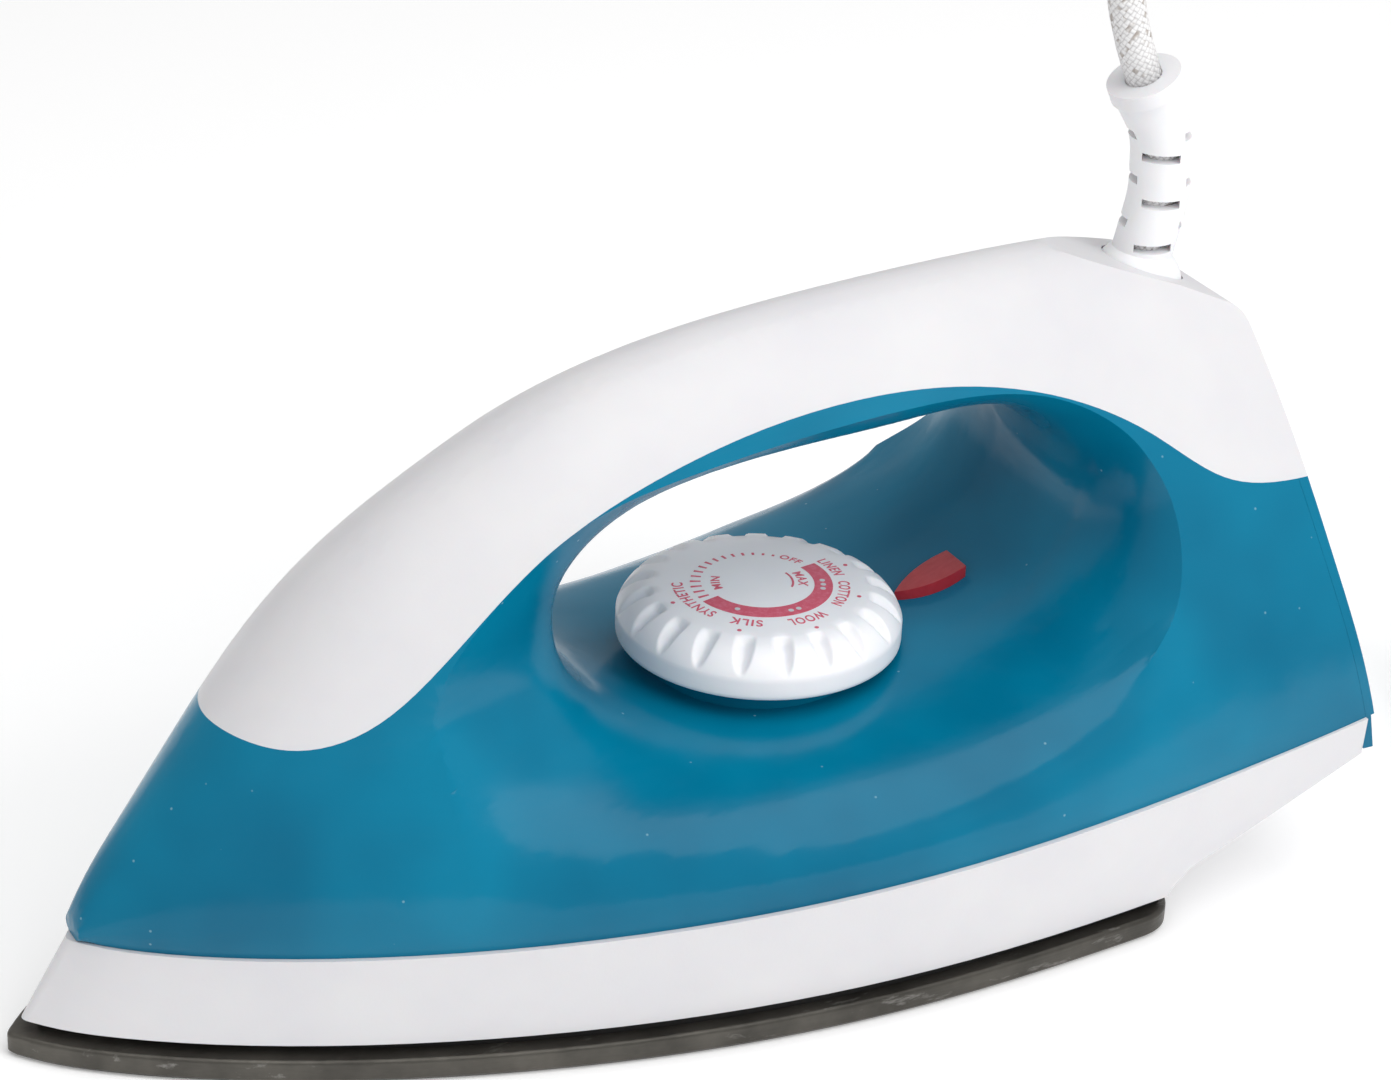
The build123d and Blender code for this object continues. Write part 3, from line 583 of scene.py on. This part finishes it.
# outer shells: name, CAD node, body, degrees past which an edge stays crisp
for name, node, body, sharp in (
        ("soleCasting", "soleplate", "root", 28), ("soleGasket", "sole_gasket", "root", 28),
        ("whiteSkirt", "skirt", "root", 28), ("tealShell", "body_shell", "root", 38),
        ("handleCover", "handle_cover", "root", 24), ("heelPlate", "heel_plate", "root", 28),
        ("heelScrew", "heel_screw", "root", 30), ("lampLens", "indicator_lens", "root", 24),
        ("cordGuard", "cord_guard", "guard", 40), ("guardSeat", "guard_seat", "root", 30)):
    made = smoothCopy(name, node, body, sharp)
    if name == "tealShell":
        softenRim(made, rimSet)
print("shells made")

# short length of cord seen through the guard
guardLine = [(-98.0, 0, 106), (-98.3, 0, 114), (-101.3, 0, 127), (-100.6, 0, 138.5),
             (-95.2, 0, 150.5)]


def makeGuardCord(points):
    line = smoothLine("guardLine", points, 8)
    made = tubeAlong("cordInGuard", line, cordSet["diameter"] * mm / 2, cordSet["sides"])
    made.data.materials.append(finishes["cord_braid"])
    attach(made, "guard")
    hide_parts("guard_cord")


makeGuardCord(guardLine)

# temperature dial, in millimetres; degrees run clockwise, seen from above, from the print's top
dialSet = {
    "centre": (-20.9, 0.0), "radius": 26.4, "top": 62.6, "around": 480,
    "flat": 6.0, "printRadius": 19.8, "printEdge": 61.9,  # the face falls a little to its edge
    "shoulder": (24.0, 60.0), "side": 56.4,  # a point on the shoulder, and the height where it ends
    "wall": [55.6, 54.4, 53.2], "foot": [(0.06, 52.6), (0.3, 52.28), (0.7, 52.2)],  # inset, height
    "under": [(24.8, 52.2), (24.6, 52.6), (24.5, 55.5), (4.0, 55.5), (4.0, 53.2), (3.0, 53.2)],
    "flutes": 20, "fluteAt": 7.0, "fluteDepth": 1.5, "fluteFoot": 57.0,
    "narrow": 0.8, "widen": 4.6,  # half width of a flute in degrees at its foot, and its growth
    "printTop": 241.0, "printThick": 0.05,
}


def faceHeight(radius):
    flat, edge = dialSet["flat"], dialSet["printRadius"]
    fall = max(0.0, radius - flat) / (edge - flat)
    return dialSet["top"] - (dialSet["top"] - dialSet["printEdge"]) * fall


def dialPoint(radius, clock, height):
    a = math.radians(dialSet["printTop"] - clock)
    return ((dialSet["centre"][0] + radius * math.cos(a)) * mm,
            (dialSet["centre"][1] + radius * math.sin(a)) * mm, height * mm)


def dialPlace(radius, clock, lift=0.0):  # a point over the face
    return dialPoint(radius, clock, faceHeight(radius) + lift)


def circleThrough(a, b, c):
    d = 2 * (a[0] * (b[1] - c[1]) + b[0] * (c[1] - a[1]) + c[0] * (a[1] - b[1]))
    sa, sb, sc = (p[0] ** 2 + p[1] ** 2 for p in (a, b, c))
    x = (sa * (b[1] - c[1]) + sb * (c[1] - a[1]) + sc * (a[1] - b[1])) / d
    y = (sa * (c[0] - b[0]) + sb * (a[0] - c[0]) + sc * (b[0] - a[0])) / d
    return (x, y), math.hypot(a[0] - x, a[1] - y)


# radius and height from the middle of the face, over the shoulder, to the foot
def dialProfile(setting):
    r, flat, edge = setting["radius"], setting["flat"], setting["printRadius"]
    radii = [0, flat / 2, flat] + [flat + (edge - flat) * k / 8 for k in range(1, 9)]
    rows = [(radius, faceHeight(radius)) for radius in radii]
    arc = [(edge, setting["printEdge"]), setting["shoulder"], (r, setting["side"])]
    centre, reach = circleThrough(*arc)
    start = math.atan2(arc[0][1] - centre[1], arc[0][0] - centre[0])
    end = math.atan2(arc[2][1] - centre[1], arc[2][0] - centre[0])
    for k in range(1, 25):
        a = start + (end - start) * k / 24
        rows.append((centre[0] + reach * math.cos(a), centre[1] + reach * math.sin(a)))
    rows += [(r, height) for height in setting["wall"]]
    return rows + [(r - inset, height) for inset, height in setting["foot"]]


# depth of the flutes at a point: widest at the face, running out at the foot
def fluteCut(setting, radius, height, clock):
    spacing = 360 / setting["flutes"]
    offset = (clock - setting["fluteAt"] + spacing / 2) % spacing - spacing / 2
    t = (height - setting["fluteFoot"]) / (setting["printEdge"] - setting["fluteFoot"])
    if t <= 0 or radius < setting["printRadius"]:
        return 0.0
    out = (radius - setting["printRadius"]) / (setting["radius"] - setting["printRadius"])
    width = setting["narrow"] + setting["widen"] * min(1, t) ** 0.75
    if abs(offset) >= width:
        return 0.0
    across = 1 - (offset / width) ** 2
    along = min(1, t * 2.2) * min(1, out * 3.0)
    return setting["fluteDepth"] * across * along


def makeDial(setting):
    around = setting["around"]
    clocks = [360 * k / around for k in range(around)]
    rows = dialProfile(setting)
    points = [dialPoint(0, 0, rows[0][1])]
    for radius, height in rows[1:]:
        for clock in clocks:
            cut = fluteCut(setting, radius, height, clock)
            points.append(dialPoint(radius - cut * 0.75, clock, height - cut * 0.65))
    for radius, height in setting["under"]:
        points += [dialPoint(radius, clock, height) for clock in clocks]
    points.append(dialPoint(0, 0, setting["under"][-1][1]))
    rings = len(rows) - 1 + len(setting["under"])
    faces = [(0, 1 + k, 1 + (k + 1) % around) for k in range(around)]
    for i in range(rings - 1):
        a, b = 1 + i * around, 1 + (i + 1) * around
        for k in range(around):
            n = (k + 1) % around
            faces.append((a + k, b + k, b + n, a + n))
    a = 1 + (rings - 1) * around
    faces += [(a + k, len(points) - 1, a + (k + 1) % around) for k in range(around)]
    made = meshObject("dialKnob", points, faces)
    work = bmesh.new()
    work.from_mesh(made.data)
    bmesh.ops.recalc_face_normals(work, faces=work.faces)
    for edge in work.edges:
        if len(edge.link_faces) == 2:
            edge.smooth = edge.calc_face_angle(0) < math.radians(50)
    work.to_mesh(made.data)
    work.free()
    # the dial takes the white plastic painted lighter, as painted light
    made.data.materials.append(dialPaintedLightPlastic)
    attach(made, "dial")
    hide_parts("temperature_dial")


makeDial(dialSet)
print("dial made")

# print on the dial: a little paler where it has worn
inkSet = {"main": linear(214, 84, 108), "worn": linear(224, 120, 140), "rough": 0.42}


def makeInk(setting):
    bench = NodeBench("crimsonPrint")
    worn = bench.noise(bench.place, 900, 4, 0.7)
    colour = bench.blendColours(bench.spread(worn, 0.45, 0.75), setting["main"], setting["worn"])
    return bench.paint({"Base Color": colour, "Roughness": setting["rough"],
                        "Normal": bench.bump(worn, 0.00002, 0.5)})


ink = makeInk(inkSet)

# degrees run as on the dial; radii and sizes in millimetres
printSet = {
    "sunk": 0.01,  # the print's underside is this far into the face
    "band": {"inner": 9.9, "outer": 13.3, "start": 48.0, "end": 231.5},
    "ticks": {"count": 15, "first": 238.5, "step": 9.5, "outer": 13.15, "longest": 2.7,
              "shortest": 0.85, "width": 0.5, "thick": 0.12,
              "level": 12},  # radius at which the ticks take their height from the face
    # word, middle, degrees that it fills, foot radius, letter size
    "words": [("LINEN", 59, 25, 14.3, 3.0), ("COTTON", 99, 36, 14.4, 3.0),
              ("WOOL", 146, 29, 14.5, 3.0), ("SILK", 189, 23, 14.5, 3.0),
              ("SYNTHETIC", 239, 53, 14.4, 2.9), ("OFF", 29, 22, 10.6, 2.4),
              ("MAX", 75, 42, 7.0, 2.5), ("MIN", 262, 34, 7.6, 2.3)],
    # radius and degrees of each dot
    "dot": 0.42,
    "outerDots": [(18.2, 59.5), (18.3, 99.5), (18.7, 147), (18.5, 191.5), (18.1, 241)],
    "smallDot": 0.52,
    "bandDots": [(11.5, 80), (11.5, 88), (11.5, 96), (11.7, 151.5), (11.7, 143.5), (11.5, 201)],
    "underline": {"inner": 5.75, "outer": 6.15, "start": 50.0, "end": 106.0},
}


def joinMeshes(name, pieces):
    points, faces = [], []
    for morePoints, moreFaces in pieces:
        base = len(points)
        points += morePoints
        faces += [tuple(base + i for i in face) for face in moreFaces]
    return meshObject(name, points, faces, smooth=False)


def arcBand(setting, thick, lift=0.0):
    steps = max(8, round((setting["end"] - setting["start"]) / 1.5))
    points, faces = [], []
    for i in range(steps + 1):
        clock = setting["start"] + (setting["end"] - setting["start"]) * i / steps
        for radius in (setting["inner"], setting["outer"]):
            points.append(dialPlace(radius, clock, lift))
            points.append(dialPlace(radius, clock, lift + thick))
    for i in range(steps):
        a, b = 4 * i, 4 * i + 4
        faces += [(a + 1, a + 3, b + 3, b + 1), (a, b, b + 2, a + 2), (a, a + 1, b + 1, b),
                  (a + 2, b + 2, b + 3, a + 3)]
    faces += [(0, 2, 3, 1), (4 * steps, 4 * steps + 1, 4 * steps + 3, 4 * steps + 2)]
    return points, faces


def roundDot(radius, clock, size, thick, lift=0.0, sides=20):
    x, y, z = dialPlace(radius, clock, lift)
    points = []
    for height in (0, thick):
        for k in range(sides):
            a = 2 * math.pi * k / sides
            points.append((x + size * mm * math.cos(a), y + size * mm * math.sin(a),
                           z + height * mm))
    faces = [tuple(reversed(range(sides))), tuple(range(sides, 2 * sides))]
    faces += [(k, (k + 1) % sides, sides + (k + 1) % sides, sides + k) for k in range(sides)]
    return points, faces


def bentWord(word, clock, fill, base, size, thick):
    curve = bpy.data.curves.new(word, "FONT")
    curve.body = word
    curve.size = size
    curve.space_character = 1.15
    curve.extrude = thick / 2
    curve.offset = 0.045
    curve.resolution_u = 4
    curve.align_x = "CENTER"
    holder = addObject(word, curve)
    mesh = finishedMesh(holder)
    half = max(abs(v.co.x) for v in mesh.vertices)
    points = [dialPlace(base + v.co.y, clock + v.co.x / half * fill / 2,
                        v.co.z + thick / 2 - 0.005) for v in mesh.vertices]
    faces = [tuple(p.vertices) for p in mesh.polygons]
    bpy.data.objects.remove(holder)
    bpy.data.meshes.remove(mesh)
    return points, faces


# radial ticks on a ring, each shorter than the one before it
def tickTree():
    tree = bpy.data.node_groups.new("dialTicks", "GeometryNodeTree")
    face = tree.interface
    face.new_socket("Geometry", in_out="OUTPUT", socket_type="NodeSocketGeometry")
    wanted = [("Count", "NodeSocketInt"), ("First", "NodeSocketFloat"), ("Step", "NodeSocketFloat"),
              ("Outer", "NodeSocketFloat"), ("Longest", "NodeSocketFloat"),
              ("Shortest", "NodeSocketFloat"), ("Width", "NodeSocketFloat"),
              ("Thickness", "NodeSocketFloat"), ("Height", "NodeSocketFloat"),
              ("Ink", "NodeSocketMaterial")]
    for name, kind in wanted:
        face.new_socket(name, in_out="INPUT", socket_type=kind)
    nodes, links = tree.nodes, tree.links
    given = nodes.new("NodeGroupInput").outputs

    def calc(operation, a, b=0.0):
        node = nodes.new("ShaderNodeMath")
        node.operation = operation
        for socket, value in zip(node.inputs, (a, b)):
            if isinstance(value, bpy.types.NodeSocket):
                links.new(value, socket)
            else:
                socket.default_value = value
        return node.outputs[0]

    line = nodes.new("GeometryNodeMeshLine")
    links.new(given["Count"], line.inputs["Count"])
    index = nodes.new("GeometryNodeInputIndex").outputs[0]
    share = calc("DIVIDE", index, calc("SUBTRACT", given["Count"], 1.0))
    ease = calc("POWER", share, 1.4)
    length = calc("ADD", given["Longest"],
                  calc("MULTIPLY", ease, calc("SUBTRACT", given["Shortest"], given["Longest"])))
    angle = calc("ADD", given["First"], calc("MULTIPLY", index, given["Step"]))
    # the short ticks also sit a little further in
    middle = calc("SUBTRACT", given["Outer"], calc("ADD", calc("MULTIPLY", length, 0.5),
                  calc("MULTIPLY", ease, calc("MULTIPLY", given["Longest"], 0.55))))
    place = nodes.new("ShaderNodeCombineXYZ")
    links.new(calc("MULTIPLY", middle, calc("COSINE", angle)), place.inputs[0])
    links.new(calc("MULTIPLY", middle, calc("SINE", angle)), place.inputs[1])
    links.new(given["Height"], place.inputs[2])
    put = nodes.new("GeometryNodeSetPosition")
    links.new(line.outputs[0], put.inputs["Geometry"])
    links.new(place.outputs[0], put.inputs["Position"])
    cube = nodes.new("GeometryNodeMeshCube")
    cube.inputs["Size"].default_value = (1, 1, 1)
    turn = nodes.new("FunctionNodeAxisAngleToRotation")
    turn.inputs["Axis"].default_value = (0, 0, 1)
    links.new(angle, turn.inputs["Angle"])
    scale = nodes.new("ShaderNodeCombineXYZ")
    links.new(length, scale.inputs[0])
    links.new(given["Width"], scale.inputs[1])
    links.new(given["Thickness"], scale.inputs[2])
    spread = nodes.new("GeometryNodeInstanceOnPoints")
    links.new(put.outputs[0], spread.inputs["Points"])
    links.new(cube.outputs["Mesh"], spread.inputs["Instance"])
    links.new(turn.outputs[0], spread.inputs["Rotation"])
    links.new(scale.outputs[0], spread.inputs["Scale"])
    real = nodes.new("GeometryNodeRealizeInstances")
    links.new(spread.outputs[0], real.inputs[0])
    colour = nodes.new("GeometryNodeSetMaterial")
    links.new(real.outputs[0], colour.inputs["Geometry"])
    links.new(given["Ink"], colour.inputs["Material"])
    links.new(colour.outputs[0], nodes.new("NodeGroupOutput").inputs[0])
    return tree


def grownMesh(name, tree, values):
    seed = meshObject(name + "Seed", [], [])
    modifier = seed.modifiers.new("grow", "NODES")
    modifier.node_group = tree
    for socket in tree.interface.items_tree:
        if socket.item_type == "SOCKET" and socket.in_out == "INPUT" and socket.name in values:
            modifier[socket.identifier] = values[socket.name]
    baked = finishedMesh(seed)
    seed.modifiers.remove(modifier)
    bpy.data.objects.remove(seed)
    return addObject(name, baked)


def printOnDial(made, material):
    made.data.materials.clear()
    made.data.materials.append(material)
    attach(made, "dial")


def makePrint(setting):
    thick, sunk = dialSet["printThick"], setting["sunk"]
    parts = [arcBand(setting[band], thick, -sunk) for band in ("band", "underline")]
    parts += [roundDot(r, c, setting["dot"], thick, -sunk) for r, c in setting["outerDots"]]
    parts += [bentWord(*word, thick) for word in setting["words"]]
    printOnDial(joinMeshes("dialPrint", parts), ink)
    dots = [roundDot(r, c, setting["smallDot"], thick * 1.3) for r, c in setting["bandDots"]]
    printOnDial(joinMeshes("dialBandDots", dots), finishes["white_plastic"])
    ticks = setting["ticks"]
    made = grownMesh("dialTickMarks", tickTree(), {
        "Count": ticks["count"], "First": math.radians(dialSet["printTop"] - ticks["first"]),
        "Step": math.radians(-ticks["step"]), "Outer": ticks["outer"] * mm,
        "Longest": ticks["longest"] * mm, "Shortest": ticks["shortest"] * mm,
        "Width": ticks["width"] * mm, "Thickness": ticks["thick"] * mm,
        "Height": (faceHeight(ticks["level"]) - sunk) * mm, "Ink": ink})
    made.data.transform(Matrix.Translation((dialSet["centre"][0] * mm, 0, 0)))
    printOnDial(made, ink)


makePrint(printSet)
print("dial print made")

# pale floor, white surroundings and large soft lamps
floorSet = {"size": 6.0, "colour": linear(250, 250, 250), "lift": 0.13}


def makeFloor(setting):
    half = setting["size"]
    floor = meshObject("floor", [(-half, -half, 0), (half, -half, 0), (half, half, 0),
                                 (-half, half, 0)], [(0, 1, 2, 3)])
    bench = NodeBench("palePaper")
    floor.data.materials.append(bench.paint({
        "Base Color": setting["colour"], "Roughness": 0.9, "Emission Color": (1, 1, 1, 1),
        "Emission Strength": setting["lift"]}))


makeFloor(floorSet)

lightSet = {
    "surround": 0.48, "aim": (-0.05, 0, 0.05),
    "lamps": [  # place, size, watts, seen in reflections
        ((-0.1, 0.45, 1.5), 1.6, 13.0, True), ((1.1, 1.0, 0.9), 1.1, 2.5, False),
        ((-0.8, 1.2, 0.9), 1.0, 10.0, False),
    ],
}


def makeLights(setting):
    world = bpy.data.worlds.new("surround")
    world.use_nodes = True
    background = world.node_tree.nodes["Background"]
    background.inputs["Color"].default_value = (1, 1, 1, 1)
    background.inputs["Strength"].default_value = setting["surround"]
    bpy.context.scene.world = world
    for i, (place, size, watts, mirrored) in enumerate(setting["lamps"]):
        data = bpy.data.lights.new("lamp" + str(i), "AREA")
        data.shape = "SQUARE"
        data.size = size
        data.energy = watts
        lamp = addObject("lamp" + str(i), data)
        lamp.location = place
        lamp.visible_glossy = mirrored
        away = Vector(place) - Vector(setting["aim"])
        lamp.rotation_euler = away.to_track_quat("Z", "Y").to_euler()


makeLights(lightSet)
bpy.context.scene.view_settings.view_transform = "Standard"
print("stage lit")
